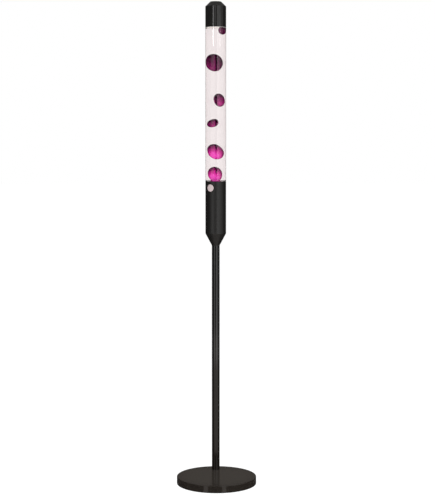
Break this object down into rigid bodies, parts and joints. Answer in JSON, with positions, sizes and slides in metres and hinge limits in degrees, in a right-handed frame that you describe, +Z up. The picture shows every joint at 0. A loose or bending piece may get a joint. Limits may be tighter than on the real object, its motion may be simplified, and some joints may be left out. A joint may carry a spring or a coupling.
{
  "type": "liquid motion floor lamp",
  "caption": "Floor lamp: a tall glass bottle of clear liquid and drifting wax stands in a lit housing on a slim pole and a heavy round foot; bottle and cap lift off.",
  "frame": {"origin": "on the floor under the middle of the round foot", "axes": "+Z up; -Y is the front, the side that the picture shows; the pole stands behind the middle of the foot, at +Y; +X is to the right seen from the front"},
  "size_m": [0.252, 0.2535, 1.524],
  "materials": {
    "black_enamel_foot": "satin warm black baked enamel",
    "black_enamel_pole": "satin black baked enamel",
    "black_enamel_housing": "satin black baked enamel on spun sheet",
    "black_enamel_cap": "satin black baked enamel on spun sheet",
    "cast_weight": "rough casting",
    "foam_pad": "closed-cell foam",
    "turned_steel": "turned",
    "zinc_screws": "zinc plated",
    "black_rubber": "moulded",
    "liner_nylon": "moulded, off-white",
    "contact_brass": "drawn",
    "spun_aluminium": "satin spun",
    "red_silicone": "moulded silicone",
    "holder_plastic": "moulded thermoset",
    "plated_cap": "nickel plated",
    "bulb_glass": "frosted face, silvered back",
    "filament_wire": "drawn wire",
    "lead_sheath": "extruded",
    "core_sheath": "extruded",
    "bottle_glass": "clear drawn glass",
    "clear_liquid": "clear liquid with a faint pink tint",
    "wax_upper": "molten wax, dark plum",
    "wax_lower": "molten wax, lit magenta",
    "coil_wire": "drawn wire",
    "seal_liner": "moulded liner",
    "crown_tinplate": "lacquered tinplate"
  },
  "bodies": {
    "stand": {"base_cover": "black_enamel_foot", "base_weight": "cast_weight", "base_pad": "foam_pad", "foot_socket": "turned_steel", "foot_screws": "zinc_screws", "cord_bush": "black_rubber", "pole": "black_enamel_pole", "pole_top_insert": "turned_steel", "head_stud": "contact_brass", "head_washer": "zinc_screws", "head_nut": "zinc_screws", "housing": "black_enamel_housing", "seat_ring": "spun_aluminium", "seat_gasket": "red_silicone", "holder_base": "holder_plastic", "holder_body": "holder_plastic", "screw_shell": "contact_brass", "centre_contact": "contact_brass", "terminals": "contact_brass", "terminal_screws": "zinc_screws", "bulb_cap": "plated_cap", "bulb_glass": "bulb_glass", "bulb_filament": "filament_wire", "inner_lead": "lead_sheath", "lead_cores": "core_sheath"},
    "bottle": {"bottle": "bottle_glass", "liquid": "clear_liquid", "wax_pool": "wax_lower", "coil": "coil_wire", "crown_seal": "seal_liner", "crown_cap": "crown_tinplate"},
    "cap": {"top_cap": "black_enamel_cap", "cap_liner": "liner_nylon"},
    "wax_1": {"wax_blob_1": "wax_upper"},
    "wax_2": {"wax_blob_2": "wax_upper"},
    "wax_3": {"wax_blob_3": "wax_upper"},
    "wax_4": {"wax_blob_4": "wax_upper"},
    "wax_5": {"wax_blob_5": "wax_lower"},
    "wax_6": {"wax_blob_6": "wax_lower"}
  },
  "joints": [
    {"name": "bottle_lift", "type": "slide", "parent": "stand", "child": "bottle", "axis": [0, 0, 1], "range_m": [0, 0.06]},
    {"name": "cap_lift", "type": "slide", "parent": "bottle", "child": "cap", "axis": [0, 0, 1], "range_m": [0, 0.08]},
    {"name": "wax_1_drift", "type": "slide", "parent": "bottle", "child": "wax_1", "axis": [0, 0, 1], "range_m": [-0.03, 0.004], "deforming": ["liquid"]},
    {"name": "wax_2_drift", "type": "slide", "parent": "bottle", "child": "wax_2", "axis": [0, 0, 1], "range_m": [-0.034, 0.03], "deforming": ["liquid"]},
    {"name": "wax_3_drift", "type": "slide", "parent": "bottle", "child": "wax_3", "axis": [0, 0, 1], "range_m": [-0.018, 0.033], "deforming": ["liquid"]},
    {"name": "wax_4_drift", "type": "slide", "parent": "bottle", "child": "wax_4", "axis": [0, 0, 1], "range_m": [-0.025, 0.018], "deforming": ["liquid"]},
    {"name": "wax_5_drift", "type": "slide", "parent": "bottle", "child": "wax_5", "axis": [0, 0, 1], "range_m": [-0.011, 0.025], "deforming": ["liquid"]},
    {"name": "wax_6_drift", "type": "slide", "parent": "bottle", "child": "wax_6", "axis": [0, 0, 1], "range_m": [-0.004, 0.009], "deforming": ["liquid"]}
  ]
}
